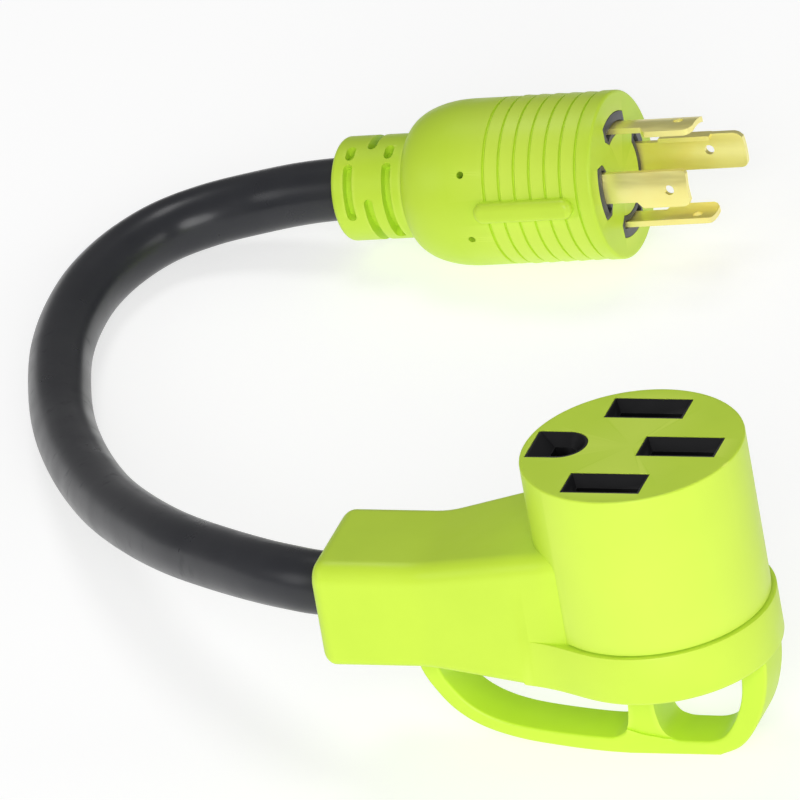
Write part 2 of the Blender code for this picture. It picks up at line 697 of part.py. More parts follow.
def blade_outline(reach, notch):
    """Front view of one blade, x across and y along the plug: its notch is on the +X side."""
    root, tip = RECESS_LOW + PLATE_THICK + 3 * GAP, PLUG_LENGTH + reach
    neck, step, wide = 3.3 * MM, PLUG_LENGTH + notch, 5.4 * MM
    outline = [(-wide, root), (neck, root), (neck, step - 1.2 * MM), (wide, step), (wide, tip - 2.2 * MM)]
    return [*outline, (wide - 1.8 * MM, tip), (-wide + 1.2 * MM, tip), (-wide, tip - 1.4 * MM)]


def blade(name, degrees):
    ground = name == "ground"
    reach = GROUND_REACH if ground else BLADE_REACH
    from_tip = GROUND_HOLE_FROM_TIP if ground else BLADE_HOLE_FROM_TIP
    half = BLADE_HALF_ANGLE
    shape = sector(BLADE_INNER, BLADE_OUTER, degrees - half, degrees + half, 8)
    low, tip = RECESS_LOW + PLATE_THICK + 2 * GAP, PLUG_LENGTH + reach
    obj = place(f"blade_{name}", plate(f"blade_{name}", [shape], low, tip + PAST), BRASS_METAL, PLUG_FRAME)
    facing = PLUG_FRAME @ tangent_frame(degrees)
    hole = arc(BLADE_HOLE_R, 0, 330, 11, (0.0, tip - from_tip))
    notch = NOTCH_LONG * 0.75 if ground else NOTCH_LONG
    front = plate(f"blade_front_{name}", [blade_outline(reach, notch), hole], 10 * MM, 18 * MM)
    boolean(obj, place(f"blade_front_{name}", front, None, facing), "INTERSECT")
    if ground:
        lip_low = (4.1 * MM, PLUG_LENGTH + notch, 10.6 * MM)
        lip = box("ground_lip", lip_low, (5.5 * MM, tip - 9.0 * MM, 14.2 * MM))
        boolean(obj, place("ground_lip", lip, None, facing), "UNION")


def plug_wiring():
    plate_low = RECESS_LOW + GAP
    disc = cylinder("carrier_rear_plate", RECESS_R - GAP, plate_low, plate_low + PLATE_THICK)
    disc = place("carrier_rear_plate", disc, BOARD_PLASTIC, PLUG_FRAME)
    tab_x, tab_low, tab_high = 3.2 * MM, 13.4 * MM, 15.0 * MM
    crimp_low, crimp_high, crimp_at = 52.0 * MM, 58.5 * MM, 12.9 * MM
    for name, degrees in BLADE_ANGLES.items():
        facing = PLUG_FRAME @ tangent_frame(degrees)
        hole_low = (-tab_x - GAP, plate_low - PAST, tab_low - GAP)
        hole_high = (tab_x + GAP, plate_low + PLATE_THICK + PAST, tab_high + GAP)
        hole = box(f"tab_hole_{name}", hole_low, hole_high)
        boolean(disc, place(f"tab_hole_{name}", hole, None, facing))
        angle = math.radians(degrees)
        centre = (crimp_at * math.cos(angle), crimp_at * math.sin(angle))
        barrel = cylinder(f"plug_crimp_{name}", 3.0 * MM, crimp_low, crimp_high, centre, SMALL_SIDES)
        barrel = place(f"plug_crimp_{name}", barrel, CRIMP_METAL, PLUG_FRAME)
        tab_start = (-tab_x, crimp_high - PAST, tab_low)
        tab = box(f"crimp_tab_{name}", tab_start, (tab_x, plate_low + PLATE_THICK, tab_high))
        boolean(barrel, place(f"crimp_tab_{name}", tab, None, facing), "UNION")
        turned_spread = math.sqrt(2) * WIRE_SPREAD
        start = (turned_spread * math.cos(angle), turned_spread * math.sin(angle))
        heights = (PLUG_JACKET_END + GAP, PLUG_JACKET_END + 4 * MM, crimp_low - 4 * MM, crimp_low - GAP)
        spots = (start, start, centre, centre)
        points = [PLUG_FRAME @ Vector((*spot, height)) for spot, height in zip(spots, heights)]
        tube(f"plug_wire_{name}", smooth_route(points, WIRE_STEP), WIRE_R, 2, WIRE_PLASTIC[name])


def cable():
    points = [Vector((JACKET_END_X, 0.0, ARM_Z)), Vector((ARM_END + 10 * MM, 0.0, ARM_Z))]
    points += [Vector(point) * MM for point in CABLE_ROUTE]
    points += [PLUG_START - PLUG_AXIS * 4 * MM, PLUG_START + PLUG_AXIS * 8 * MM]
    points += [PLUG_START + PLUG_AXIS * along for along in (20 * MM, PLUG_JACKET_END)]
    tube("cable_jacket", smooth_route(points, CABLE_STEP), CABLE_R, 4, JACKET_PLASTIC)


def main():
    socket_overmould()
    socket_core()
    core_cover()
    for name, (x, y) in SLOT_CENTRES.items():
        blade_contact(name, x, y)
    ground_contact()
    socket_wiring()
    plug_overmould()
    strain_relief()
    blade_carrier()
    for name, degrees in BLADE_ANGLES.items():
        blade(name, degrees)
    plug_wiring()
    cable()


main()
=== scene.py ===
"""Looks for the power adapter dogbone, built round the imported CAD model.

Lengths are metres, given as millimetres times MM. The frame is the CAD's: +Z up, +X along the
socket's arm towards its head, and the origin under the head, where the pull handle rests.
"""

import math

import bmesh
import bpy
from mathutils import Matrix, Vector


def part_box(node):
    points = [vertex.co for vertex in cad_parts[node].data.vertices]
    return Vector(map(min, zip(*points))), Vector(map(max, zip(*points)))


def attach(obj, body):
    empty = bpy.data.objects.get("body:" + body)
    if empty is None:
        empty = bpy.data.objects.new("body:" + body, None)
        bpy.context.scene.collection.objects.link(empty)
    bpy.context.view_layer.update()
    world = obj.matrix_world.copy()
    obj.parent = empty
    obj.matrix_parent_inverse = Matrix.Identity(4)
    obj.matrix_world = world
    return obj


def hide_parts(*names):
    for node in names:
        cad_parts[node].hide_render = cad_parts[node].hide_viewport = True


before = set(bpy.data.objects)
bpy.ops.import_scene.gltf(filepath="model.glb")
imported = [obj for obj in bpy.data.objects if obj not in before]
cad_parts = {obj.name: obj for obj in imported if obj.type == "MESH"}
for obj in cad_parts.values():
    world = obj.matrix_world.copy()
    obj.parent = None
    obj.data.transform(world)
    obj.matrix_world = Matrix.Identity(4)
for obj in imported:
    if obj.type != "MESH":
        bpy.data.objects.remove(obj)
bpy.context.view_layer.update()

MM = 0.001
MERGE = 0.00001
DOUBLED = MERGE / 5  # points closer than this are one
GAP = 0.3 * MM
PAST = 1.0 * MM  # how far a cutter runs past the face it cuts

# Camera
AZIMUTH = math.radians(22.5)
ELEVATION = math.radians(28.3)
ROLL = math.radians(10.1)
LENS = 1500.0
SENSOR = 36.0
DISTANCE = 9259.0 * MM
AIM_RIGHT = -77.8 * MM
AIM_UP = 93.7 * MM
AIM_BACK = -109.0 * MM

# Cable
CABLE_R = 8.9 * MM
BORE_R = CABLE_R + GAP
JACKET_END_X = -72.0 * MM
CABLE_SIDES = 72
CABLE_STEP = 2.0 * MM
CABLE_ROUTE = (
    (-97, 0, 48.3),
    (-108, 4, 47.5),
    (-120, 11, 45.5),
    (-138, 25, 41),
    (-156, 41, 36),
    (-174, 61, 30),
    (-191, 83, 24),
    (-206, 106, 19),
    (-219, 129, 15),
    (-229, 150, 12),
    (-237, 171, 10.5),
    (-243, 191, 9.5),
    (-246, 210, 9),
    (-246, 228, 9),
    (-242, 244, 9.5),
    (-234, 257, 10.5),
    (-222, 264, 12.5),
    (-208, 267, 15),
    (-195, 267, 18),
)

# Socket: the first three sizes come from the frame
HEAD_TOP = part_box("socket_core")[1][2]
ARM_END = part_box("socket_overmould")[0][0]
FLANGE_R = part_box("socket_overmould")[1][0]
HEAD_R = FLANGE_R - 1.45 * MM
FLANGE_TOP = 45.0 * MM
BASE_LOW = 30.3 * MM
ARM_LOW = 32.3 * MM
ARM_HALF = 18.6 * MM
ARM_TOP = 63.4 * MM
ARM_Z = 48.3 * MM
ARM_ROUNDING = 5.5 * MM
ARM_FOOT_ROUNDING = 2.5 * MM
ARM_END_ROUNDING = 4.0 * MM
ARM_INSIDE = -12.0 * MM
FLARE_START = -63.0 * MM
FLARE_END = -23.3 * MM
FLARE_SLOPE = 0.1637
FLARE_SOFT = 4 * MM
FLARE_END_SOFT = 1.5 * MM
RAMP_END = -16.0 * MM
RAMP_SLOPE = 0.2
FOOT_END = -34.0 * MM
FOOT_SLOPE = (ARM_LOW - BASE_LOW) / (FOOT_END - FLARE_START)
RAMP_END_SOFT = 2 * MM
BASE_MEETS_AT = -9.0 * MM  # where the flange's circle turns into the arm's sides
FACE_THICK = 2.5 * MM
BOSS_ROOT = HEAD_TOP - FACE_THICK - 2.0 * MM
BOSS_EDGE = 0.15 * MM
CAVITY_R = 28.5 * MM
CAVITY_LOW = 35.0 * MM
HEAD_SIDES = 192
HEAD_GROOVE_HALF = 0.45 * MM
HEAD_GROOVE_DEEP = 1.3 * MM
HANDLE_HALF = 7.6 * MM
HANDLE_EDGE = 0.9 * MM
STRUT_RECESS = 0.8 * MM

# Socket: insulator
CORE_R = CAVITY_R - GAP
CORE_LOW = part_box("socket_core")[0][2]
SLOT_LONG = 18.4 * MM
SLOT_WIDE = 4.6 * MM
MOUTH_LONG = 21.8 * MM
MOUTH_WIDE = 9.8 * MM
MOUTH_DEEP = 3.0 * MM
BOSS_LONG = 22.6 * MM
BOSS_WIDE = 10.6 * MM
SLOT_CENTRES = {
    "hot_x": (-1.5 * MM, -20.5 * MM),
    "hot_y": (-1.5 * MM, 20.5 * MM),
    "neutral": (14.0 * MM, 0.0),
}
GROUND_CENTRE = (-20.2 * MM, 0.0)
GROUND_R = 3.6 * MM
GROUND_MOUTH_R = 6.6 * MM
GROUND_MOUTH_FLAT = 8.3 * MM
GROUND_BOSS_R = 7.1 * MM
GROUND_BOSS_FLAT = 8.8 * MM

# Plug, measured along its own axis from the cable end of its collar
PLUG_SIDES = 192
PLUG_LENGTH = 83.8 * MM
PLUG_R = 23.9 * MM
PLUG_BAND_R = 23.6 * MM
RING_FIRST = 50.5 * MM
RING_PITCH = 4.69 * MM
RING_COUNT = 6
RING_GROOVE = 0.9 * MM
RING_SLOPE = 0.35 * MM
RING_EASE = 0.08 * MM
BAND_EASE = 0.07 * MM
FACE_EDGE = 0.9 * MM
DOME_START = 22.3 * MM
DOME_END = 40.0 * MM
DOME_START_R = 15.1 * MM
COLLAR_R = 14.8 * MM
COLLAR_END = 22.0 * MM
COLLAR_SLOT_DEEP = 2.75 * MM
COLLAR_SLOT_HALF = 1.4 * MM
COLLAR_EDGE = 1.7 * MM
COLLAR_WEB = (119.5, 124.5)
COLLAR_ROWS = ((5.5 * MM, 100, 190, True), (11.4 * MM, 165, 285, False), (17.3 * MM, 100, 225, True))
PLUG_JACKET_END = 31.5 * MM
CHAMBER_R = 17.0 * MM
CHAMBER_LOW = 32.5 * MM
RECESS_R = 19.5 * MM
RECESS_LOW = 60.0 * MM
PLUG_FACE_THICK = 2.5 * MM
PLATE_THICK = 3.0 * MM
GRIP_LOW = 47.5 * MM
GRIP_HIGH = 77.5 * MM
GRIP_HALF = 3.0 * MM
GRIP_TOP_R = 26.6 * MM
GRIP_ANGLES = (173.0, 353.0)
PIN_HOLE_R = 1.05 * MM
PIN_HOLE_DEEP = 5.8 * MM
PIN_HOLE_ALONG = 44.0 * MM
PIN_HOLE_ANGLES = (146.5, 195.0)

# Blades
BLADE_INNER = 13.5 * MM
BLADE_OUTER = 15.1 * MM
BLADE_HALF_ANGLE = 24.0
BLADE_SLOT_HALF_ANGLE = 25.6
BLADE_REACH = 25.5 * MM
GROUND_REACH = 32.6 * MM
BLADE_HOLE_R = 1.45 * MM
BLADE_HOLE_FROM_TIP = 5.6 * MM
GROUND_HOLE_FROM_TIP = 10.9 * MM
NOTCH_LONG = 10.6 * MM
GROUND_NOTCH_LONG = NOTCH_LONG * 0.75
LIP_THICK = 1.4 * MM
LIP_ACROSS = 4.8 * MM
LIP_FROM_TIP = 9 * MM
BLADE_EDGE = 0.22 * MM
BLADE_ANGLES = {"hot_x": 81.0, "neutral": 172.0, "hot_y": 266.0, "ground": -4.0}
SEAT_INNER = 11.8 * MM
SEAT_OUTER = 17.9 * MM
SEAT_MIDDLE = 14.6 * MM
SEAT_HALF_ANGLE = 25.0
SEAT_TIP_ANGLE = 31.0

PLUG_START = Vector((-179.3, 266.8, 20.2)) * MM
PLUG_PITCH = math.radians(5.0)
PLUG_YAW = math.radians(-1.5)
PLUG_AXIS = Vector(
    (
        math.cos(PLUG_PITCH) * math.cos(PLUG_YAW),
        math.cos(PLUG_PITCH) * math.sin(PLUG_YAW),
        math.sin(PLUG_PITCH),
    )
)

PIECES = bpy.data.collections.new("pieces")
bpy.context.scene.collection.children.link(PIECES)


# Camera, floor and light


def add_camera():
    """A long lens, from in front and above, tilted a little."""
    level_right = Vector((math.cos(AZIMUTH), math.sin(AZIMUTH), 0.0))
    back = Vector(
        (
            math.sin(AZIMUTH) * math.cos(ELEVATION),
            -math.cos(AZIMUTH) * math.cos(ELEVATION),
            math.sin(ELEVATION),
        )
    )
    level_up = back.cross(level_right)
    right = level_right * math.cos(ROLL) - level_up * math.sin(ROLL)
    up = level_right * math.sin(ROLL) + level_up * math.cos(ROLL)
    data = bpy.data.cameras.new("camera")
    data.lens = LENS
    data.sensor_width = SENSOR
    data.clip_start = 0.1
    data.clip_end = 100.0
    camera = bpy.data.objects.new("camera", data)
    bpy.context.scene.collection.objects.link(camera)
    aim = right * AIM_RIGHT + up * AIM_UP + back * AIM_BACK
    turn = Matrix((right, up, back)).transposed().to_4x4()
    camera.matrix_world = Matrix.Translation(aim + back * DISTANCE) @ turn
    bpy.context.scene.camera = camera


def area_light(name, place_at, target, size, power):
    data = bpy.data.lights.new(name, "AREA")
    data.shape = "DISK"
    data.size = size
    data.energy = power
    light = bpy.data.objects.new(name, data)
    light.location = place_at
    light.rotation_euler = (Vector(target) - Vector(place_at)).to_track_quat("-Z", "Y").to_euler()
    bpy.context.scene.collection.objects.link(light)


def add_lights():
    middle = (-0.1, 0.12, 0.04)
    area_light("front_light", (0.5, -1.6, 0.8), middle, 1.2, 22.0)
    area_light("left_light", (-1.5, -0.9, 0.8), middle, 0.9, 4.0)
    area_light("right_light", (1.7, 0.2, 0.7), middle, 0.8, 5.0)
    area_light("top_light", (-0.4, 0.7, 1.6), middle, 0.7, 5.5)
    world = bpy.data.worlds.new("soft_white")
    world.use_nodes = True
    background = world.node_tree.nodes["Background"]
    background.inputs["Color"].default_value = (1.0, 1.0, 1.0, 1.0)
    background.inputs["Strength"].default_value = 0.2
    bpy.context.scene.world = world
    bpy.context.scene.view_settings.view_transform = "Standard"


def add_floor():
    mesh = bpy.data.meshes.new("floor")
    half = 12.0  # metres
    corners = [(-half, -half, 0.0), (half, -half, 0.0), (half, half, 0.0), (-half, half, 0.0)]
    mesh.from_pydata(corners, [], [(0, 1, 2, 3)])
    floor = bpy.data.objects.new("floor", mesh)
    bpy.context.scene.collection.objects.link(floor)
    look = bpy.data.materials.new("floor_white")
    look.use_nodes = True
    shader = look.node_tree.nodes["Principled BSDF"]
    shader.inputs["Base Color"].default_value = (0.5, 0.5, 0.5, 1.0)
    shader.inputs["Roughness"].default_value = 0.9
    shader.inputs["Specular IOR Level"].default_value = 0.1
    shader.inputs["Emission Color"].default_value = (1.0, 1.0, 1.0, 1.0)
    shader.inputs["Emission Strength"].default_value = 0.66
    mesh.materials.append(look)


# Materials


class Look:
    """A material and its nodes, with short calls for what the looks below share."""

    def __init__(self, name):
        self.material = bpy.data.materials.new(name)
        self.material.use_nodes = True
        self.nodes = self.material.node_tree.nodes
        self.links = self.material.node_tree.links
        self.shader = self.nodes["Principled BSDF"]
        self.coordinates = self.nodes.new("ShaderNodeTexCoord").outputs["Object"]

    def set(self, **values):
        for name, value in values.items():
            self.shader.inputs[name.replace("_", " ")].default_value = value

    def noise(self, scale, detail, stretch=None):
        """Noise in object space, so that its scale is in cycles a metre."""
        node = self.nodes.new("ShaderNodeTexNoise")
        node.inputs["Scale"].default_value = scale
        node.inputs["Detail"].default_value = detail
        if stretch is None:
            self.links.new(self.coordinates, node.inputs["Vector"])
        else:
            mapping = self.nodes.new("ShaderNodeMapping")
            mapping.inputs["Scale"].default_value = stretch
            self.links.new(self.coordinates, mapping.inputs["Vector"])
            self.links.new(mapping.outputs["Vector"], node.inputs["Vector"])
        return node.outputs["Fac"]

    def spread(self, value, low, high, start=0.3, end=0.7):
        """The value's middle range, stretched to run from low to high."""
        node = self.nodes.new("ShaderNodeMapRange")
        node.inputs["From Min"].default_value = start
        node.inputs["From Max"].default_value = end
        node.inputs["To Min"].default_value = low
        node.inputs["To Max"].default_value = high
        self.links.new(value, node.inputs["Value"])
        return node.outputs["Result"]

    def mix(self, factor, first, second):
        """A colour between two others, each a colour or another mix's output."""
        node = self.nodes.new("ShaderNodeMix")
        node.data_type = "RGBA"
        self.links.new(factor, node.inputs["Factor"])
        for socket, colour in (("A", first), ("B", second)):
            target = next(item for item in node.inputs if item.name == socket and item.type == "RGBA")
            if isinstance(colour, tuple):
                target.default_value = (*colour, 1.0)
            else:
                self.links.new(colour, target)
        return next(item for item in node.outputs if item.type == "RGBA")

    def edges(self):
        """1 on edges that stand out, 0 elsewhere."""
        pointiness = self.nodes.new("ShaderNodeNewGeometry").outputs["Pointiness"]
        return self.spread(pointiness, 0.0, 1.0, 0.52, 0.6)

    def colour(self, value):
        self.links.new(value, self.shader.inputs["Base Color"])

    def roughness(self, value):
        self.links.new(value, self.shader.inputs["Roughness"])

    def bump(self, *layers):
        """Bump from (height, distance, strength) layers, one on top of another."""
        below = None
        for height, distance, strength in layers:
            node = self.nodes.new("ShaderNodeBump")
            node.inputs["Distance"].default_value = distance
            node.inputs["Strength"].default_value = strength
            self.links.new(height, node.inputs["Height"])
            if below is not None:
                self.links.new(below, node.inputs["Normal"])
            below = node.outputs["Normal"]
        self.links.new(below, self.shader.inputs["Normal"])


def moulded(name, base, edge_highlight, dark, rough=(0.36, 0.46)):
    """Moulded plastic: a slow tint variation, a painted highlight along its convex edges and a fine grain."""
    look = Look(name)
    cloudy = look.spread(look.noise(38.0, 4.0), 0.0, 1.0)
    tinted = look.mix(cloudy, base, dark)
    # painted highlight: convex edges, found by pointiness, are mixed towards the paler colour
    look.colour(look.mix(look.edges(), tinted, edge_highlight))
    look.roughness(look.spread(look.noise(120.0, 5.0), *rough))
    look.bump(
        (look.noise(95.0, 2.0), 0.12 * MM, 0.25),
        (look.noise(3200.0, 2.0), 0.02 * MM, 0.5),
    )
    return look


def lime_look():
    tints = ((0.61, 0.84, 0.052), (0.74, 0.93, 0.12), (0.57, 0.80, 0.047))
    look = moulded("lime_moulding_detail", *tints)
    look.set(Specular_IOR_Level=0.42)
    return look.material


def black_look():
    tints = ((0.009, 0.009, 0.010), (0.04, 0.04, 0.042), (0.006, 0.006, 0.007))
    look = moulded("black_insulator_detail", *tints)
    look.set(Specular_IOR_Level=0.25)
    return look.material


def slate_look():
    tints = ((0.066, 0.071, 0.088), (0.13, 0.135, 0.15), (0.05, 0.054, 0.068))
    return moulded("slate_insulator_detail", *tints).material


def board_look():
    tints = ((0.03, 0.03, 0.03), (0.07, 0.07, 0.07), (0.022, 0.022, 0.022))
    return moulded("board_black_detail", *tints, (0.5, 0.65)).material


def jacket_look():
    """Extruded PVC: satin, with faint drawn lines and a few scuffs."""
    look = Look("cable_jacket_detail")
    cloudy = look.spread(look.noise(45.0, 4.0), 0.0, 1.0)
    look.colour(look.mix(cloudy, (0.024, 0.025, 0.030), (0.032, 0.033, 0.038)))
    scuffs = look.spread(look.noise(260.0, 6.0, (1.0, 1.0, 0.4)), 0.0, 0.12, 0.62, 0.75)
    add = look.nodes.new("ShaderNodeMath")
    add.operation = "ADD"
    look.links.new(scuffs, add.inputs[0])
    look.links.new(look.spread(look.noise(80.0, 4.0), 0.27, 0.36), add.inputs[1])
    look.roughness(add.outputs["Value"])
    look.bump(
        (look.noise(60.0, 2.0), 0.3 * MM, 0.22),
        (look.noise(2400.0, 2.0), 0.015 * MM, 0.4),
    )
    look.set(Coat_Weight=0.08, Coat_Roughness=0.2, Specular_IOR_Level=0.3)
    return look.material


def metal_look(name, bright, dull, rough, metallic=1.0):
    """Rolled and stamped sheet: drawn lines along the blades and a little tarnish."""
    look = Look(name)
    tarnish = look.spread(look.noise(70.0, 5.0), 0.0, 1.0, 0.35, 0.75)
    look.colour(look.mix(tarnish, bright, dull))
    lines = look.noise(1500.0, 3.0, (0.05, 1.0, 1.0))
    look.roughness(look.spread(lines, *rough))
    look.bump((lines, 0.004 * MM, 0.3), (look.noise(160.0, 2.0), 0.05 * MM, 0.15))
    look.set(Metallic=metallic)
    return look.material


def wire_look(name, colour):
    # a paler colour of the wire, for the painted highlight along its edges
    edge_highlight = tuple(min(1.0, value * 1.2 + 0.02) for value in colour)
    dark = tuple(value * 0.85 for value in colour)
    return moulded(f"wire_{name}_detail", colour, edge_highlight, dark, (0.4, 0.5)).material


# Mesh tools


def new_object(name, mesh, look=None, matrix=None):
    obj = bpy.data.objects.new(name, mesh)
    PIECES.objects.link(obj)
    if matrix is not None:
        mesh.transform(matrix)
    if look is not None:
        mesh.materials.clear()
        mesh.materials.append(look)
    return obj


def remove(obj):
    mesh = obj.data
    bpy.data.objects.remove(obj, do_unlink=True)
    if mesh.users == 0:
        bpy.data.meshes.remove(mesh)


def evaluated_mesh(obj, name):
    """The mesh as the object's modifiers leave it."""
    graph = bpy.context.evaluated_depsgraph_get()
    mesh = bpy.data.meshes.new_from_object(obj.evaluated_get(graph))
    mesh.name = name
    return mesh


def combine(name, base, steps):
    """The base mesh after (operation, mesh, matrix) Booleans. The operands are removed."""
    body = new_object(f"{name}_base", base)
    for operation, mesh, matrix in steps:
        other = new_object(f"{name}_other", mesh, None, matrix)
        cut = body.modifiers.new("cut", "BOOLEAN")
        cut.operation = operation
        cut.object = other
        made = evaluated_mesh(body, name)
        body.modifiers.clear()
        remove(other)
        old = body.data
        body.data = made
        bpy.data.meshes.remove(old)
    mesh = body.data.copy()
    mesh.name = name
    remove(body)
    return mesh


def shade(mesh):
    """Smooth shading with sharp edges kept, and no doubled points."""
    work = bmesh.new()
    work.from_mesh(mesh)
    bmesh.ops.remove_doubles(work, verts=work.verts, dist=DOUBLED)
    bmesh.ops.recalc_face_normals(work, faces=work.faces)
    work.to_mesh(mesh)
    work.free()
    mesh.shade_smooth()
    mesh.set_sharp_from_angle(angle=math.radians(32))
    return mesh


def finish_piece(name, mesh, look, nodes, edge=0.0, matrix=None):
    """Turns a mesh into a piece of the object, with its edges rounded if an edge width is given."""
    piece = new_object(name, shade(mesh), look, matrix)
    if edge:
        bevel = piece.modifiers.new("rounding", "BEVEL")
        bevel.width = edge
        bevel.segments = 2
        bevel.limit_method = "ANGLE"
        bevel.angle_limit = math.radians(38)
        bevel.harden_normals = True
        rounded = evaluated_mesh(piece, name)
        piece.modifiers.clear()
        piece.data = rounded
    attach(piece, "root")
    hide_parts(*nodes)
    return piece


def arc(radius, start, end, steps, centre=(0.0, 0.0)):
    """Points on a circle between two angles in degrees."""
    angles = [math.radians(start + (end - start) * index / steps) for index in range(steps + 1)]
    return [(centre[0] + radius * math.cos(a), centre[1] + radius * math.sin(a)) for a in angles]


def rectangle(long, wide, rounding=0.0):
    """A rectangle round the origin, with round corners if asked."""
    x, y = long / 2 - rounding, wide / 2 - rounding
    if not rounding:
        return [(-x, -y), (x, -y), (x, y), (-x, y)]
    corners = ((-x, -y, 180), (x, -y, 270), (x, y, 0), (-x, y, 90))
    return [point for cx, cy, start in corners for point in arc(rounding, start, start + 90, 4, (cx, cy))]


def d_shape(radius, flat):
    """Round at +X, with its flat side at -X, that far from the round part's centre."""
    return [(-flat, -radius), *arc(radius, -90, 90, 24), (-flat, radius)]


def sector(inner, outer, start, end, steps=24):
    """Part of a flat ring between two angles in degrees."""
    return [*arc(outer, start, end, steps), *reversed(arc(inner, start, end, steps))]


def catmull_rom(points, step):
    """Points every step or so on a smooth curve through the given ones, of any dimension."""
    points = [Vector(point) for point in points]
    ends = [2 * points[0] - points[1], *points, 2 * points[-1] - points[-2]]
    found = [points[0]]
    for before, start, end, after in zip(ends, ends[1:], ends[2:], ends[3:]):
        count = max(1, round((end - start).length / step))
        for index in range(1, count + 1):
            t = index / count
            found.append(
                0.5
                * (
                    2 * start
                    + (end - before) * t
                    + (2 * before - 5 * start + 4 * end - after) * t**2
                    + (3 * start - before - 3 * end + after) * t**3
                )
            )
    return found


def inset(outline, distance):
    """The outline moved inwards, for a shape that runs counter-clockwise."""
    moved = []
    least_lean = 0.35
    count = len(outline)
    for index in range(count):
        before, here, after = (Vector(outline[(index + shift) % count]) for shift in (-1, 0, 1))
        first, second = (here - before).normalized(), (after - here).normalized()
        normal = (Vector((-first.y, first.x)) + Vector((-second.y, second.x))).normalized()
        lean = max(least_lean, normal.dot(Vector((-second.y, second.x))))
        moved.append(tuple(here + normal * distance / lean))
    return moved


def skin(name, rings):
    """A solid through rings of as many points each, with its ends closed."""
    work = bmesh.new()
    rows = [[work.verts.new(point) for point in ring] for ring in rings]
    for row, after in zip(rows, rows[1:]):
        count = len(row)
        for index in range(count):
            other = (index + 1) % count
            work.faces.new((row[index], row[other], after[other], after[index]))
    work.faces.new(list(reversed(rows[0])))
    work.faces.new(rows[-1])
    bmesh.ops.recalc_face_normals(work, faces=work.faces)
    mesh = bpy.data.meshes.new(name)
    work.to_mesh(mesh)
    work.free()
    return mesh


def slab(name, outline, steps):
    """A solid on an outline in X and Y, with (inset, height) steps from its bottom to its top."""
    return skin(name, [[(x, y, height) for x, y in inset(outline, depth)] for depth, height in steps])


def straight_slab(name, outline, low, high):
    return slab(name, outline, ((0.0, low), (0.0, high)))


def round_edge(low, high, radius, steps=4, top_only=False):
    """(inset, height) steps of a side with both its edges, or only its top one, rounded."""
    quarter = [math.radians(90 * index / steps) for index in range(steps + 1)]
    top = [(radius * (1 - math.cos(a)), high - radius * (1 - math.sin(a))) for a in quarter]
    if top_only:
        return [(0.0, low), *top]
    bottom = [(depth, low + high - height) for depth, height in reversed(top)]
    return [*bottom, *top]


def plate(name, outlines, low, high, edge=0.0):
    """A flat shape with holes, from low to high along Z, with its edges rounded by edge."""
    curve = bpy.data.curves.new(name, "CURVE")
    curve.dimensions = "2D"
    curve.fill_mode = "BOTH"
    curve.extrude = (high - low) / 2 - edge
    curve.bevel_depth = edge
    curve.offset = -edge
    curve.bevel_resolution = 3
    for outline in outlines:
        spline = curve.splines.new("POLY")
        spline.points.add(len(outline) - 1)
        spline.use_cyclic_u = True
        for point, (x, y) in zip(spline.points, outline):
            point.co = (x, y, 0.0, 1.0)
    obj = bpy.data.objects.new(name, curve)
    PIECES.objects.link(obj)
    mesh = evaluated_mesh(obj, name)
    bpy.data.objects.remove(obj, do_unlink=True)
    bpy.data.curves.remove(curve)
    work = bmesh.new()
    work.from_mesh(mesh)
    bmesh.ops.remove_doubles(work, verts=work.verts, dist=MERGE)
    bmesh.ops.translate(work, verts=work.verts, vec=(0.0, 0.0, (low + high) / 2))
    work.to_mesh(mesh)
    work.free()
    return mesh


def turned(name, profile, sides, ring=False):
    """A solid turned about Z from (radius, height) points. A ring's profile closes on itself."""
    work = bmesh.new()
    columns = []
    for radius, height in profile:
        if radius < MERGE:
            columns.append([work.verts.new((0.0, 0.0, height))])
            continue
        angles = [2 * math.pi * index / sides for index in range(sides)]
        columns.append([work.verts.new((radius * math.cos(a), radius * math.sin(a), height)) for a in angles])
    pairs = list(zip(columns, columns[1:]))
    if ring:
        pairs.append((columns[-1], columns[0]))
    for first, second in pairs:
        for index in range(sides):
            after = (index + 1) % sides
            corners = [first[index % len(first)], first[after % len(first)]]
            corners += [second[after % len(second)], second[index % len(second)]]
            corners = list(dict.fromkeys(corners))
            if len(corners) > 2:
                work.faces.new(corners)
    bmesh.ops.recalc_face_normals(work, faces=work.faces)
    mesh = bpy.data.meshes.new(name)
    work.to_mesh(mesh)
    work.free()
    return mesh


def cylinder(name, radius, low, high, centre=(0.0, 0.0), sides=96):
    outline = [(centre[0] + x, centre[1] + y) for x, y in arc(radius, 0, 360 - 360 / sides, sides - 1)]
    return straight_slab(name, outline, low, high)


def funnel(name, wide_outline, narrow_outline, high, low):
    """A loft between two outlines of as many points, the wide one on top."""
    rings = []
    for outline, height in ((narrow_outline, low), (wide_outline, high)):
        rings.append([(x, y, height) for x, y in outline])
    return skin(name, rings)


def plug_frame():
    """Local +Z is the plug's axis, +X its right and +Y its top, as seen facing the blades."""
    right = Vector((-math.sin(PLUG_YAW), math.cos(PLUG_YAW), 0.0))
    top = PLUG_AXIS.cross(right)
    turn = Matrix((right, top, PLUG_AXIS)).transposed().to_4x4()
    return Matrix.Translation(PLUG_START) @ turn


PLUG_FRAME = plug_frame()


def tangent_frame(degrees):
    """Local +X is the tangent, +Y the axis and +Z outwards, at this angle round the plug's axis."""
    angle = math.radians(degrees)
    tangent = Vector((-math.sin(angle), math.cos(angle), 0.0))
    outward = Vector((math.cos(angle), math.sin(angle), 0.0))
    return Matrix((tangent, Vector((0.0, 0.0, 1.0)), outward)).transposed().to_4x4()


# Cable


